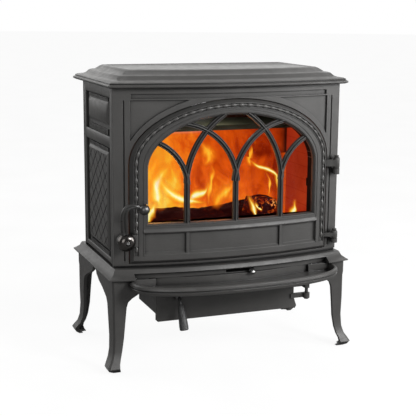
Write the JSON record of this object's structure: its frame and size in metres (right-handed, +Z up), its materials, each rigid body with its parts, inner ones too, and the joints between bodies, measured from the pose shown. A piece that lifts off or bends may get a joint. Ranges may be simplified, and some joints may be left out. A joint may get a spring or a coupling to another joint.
{
  "type": "wood burning stove",
  "caption": "Bow-fronted cast-iron wood burning stove with an arched glazed door, ash lip, ash door, air lever and cabriole legs.",
  "frame": {"origin": "centre of the overall footprint, on the floor", "axes": "+Z up, -Y is the front with the door, +X to the right of someone facing the door"},
  "size_m": [0.642, 0.47, 0.707],
  "materials": {
    "matte_iron_paint": "matte dark grey stove paint on cast iron",
    "bare_cast_iron": "bare, heat darkened",
    "ceramic_glass": "clear heat resistant",
    "bright_steel": "bright",
    "dark_plated_steel": "dark plated, satin",
    "glass_fibre_rope": "woven",
    "vermiculite_board": "matte pressed board"
  },
  "bodies": {
    "body": {"top_plate": "matte_iron_paint", "base_plate": "matte_iron_paint", "leg_front_left": "matte_iron_paint", "leg_front_right": "matte_iron_paint", "leg_back_left": "matte_iron_paint", "leg_back_right": "matte_iron_paint", "ash_lip": "matte_iron_paint", "front_frame": "matte_iron_paint", "side_panel_left": "matte_iron_paint", "side_panel_right": "matte_iron_paint", "back_plate": "bare_cast_iron", "flue_collar": "bare_cast_iron", "hinge_pin_upper": "matte_iron_paint", "hinge_pin_lower": "matte_iron_paint", "ash_house": "matte_iron_paint", "ash_hinge_post": "matte_iron_paint", "ash_pan": "bare_cast_iron", "burn_plate_left": "vermiculite_board", "burn_plate_right": "vermiculite_board", "burn_plate_back": "vermiculite_board", "baffle_plate": "bare_cast_iron", "grate": "bare_cast_iron", "log_retainer": "bare_cast_iron"},
    "door": {"door": "matte_iron_paint", "door_tracery": "matte_iron_paint", "door_glass": "ceramic_glass", "glass_gasket": "glass_fibre_rope", "glass_clip_left": "dark_plated_steel", "glass_clip_right": "dark_plated_steel", "glass_clip_bottom_left": "dark_plated_steel", "glass_clip_bottom_right": "dark_plated_steel"},
    "door_handle": {"door_handle": "dark_plated_steel", "door_handle_knob": "dark_plated_steel", "door_handle_screw": "bright_steel", "door_latch_cam": "bright_steel"},
    "ash_door": {"ash_door": "matte_iron_paint"},
    "ash_handle": {"ash_handle_shaft": "dark_plated_steel", "ash_handle_grip": "dark_plated_steel", "ash_latch_cam": "bright_steel"},
    "air_control": {"air_lever": "dark_plated_steel", "air_lever_knob": "bright_steel", "air_shutter": "bare_cast_iron"}
  },
  "joints": [
    {"name": "door_hinge", "type": "hinge", "parent": "body", "child": "door", "pos_m": [0.28, -0.101, 0.2565], "axis": [0, 0, 1], "range_deg": [0, 110]},
    {"name": "door_handle_turn", "type": "hinge", "parent": "door", "child": "door_handle", "pos_m": [-0.27, -0.1145, 0.314], "axis": [0, 1, 0], "range_deg": [-90, 0]},
    {"name": "ash_door_hinge", "type": "hinge", "parent": "body", "child": "ash_door", "pos_m": [0.217, -0.08, 0.099], "axis": [0, 0, 1], "range_deg": [0, 110]},
    {"name": "ash_handle_turn", "type": "hinge", "parent": "ash_door", "child": "ash_handle", "pos_m": [-0.131, -0.077, 0.163], "axis": [0, 1, 0], "range_deg": [-90, 0]},
    {"name": "air_lever_slide", "type": "slide", "parent": "body", "child": "air_control", "axis": [1, 0, 0], "range_m": [-0.055, 0]}
  ]
}
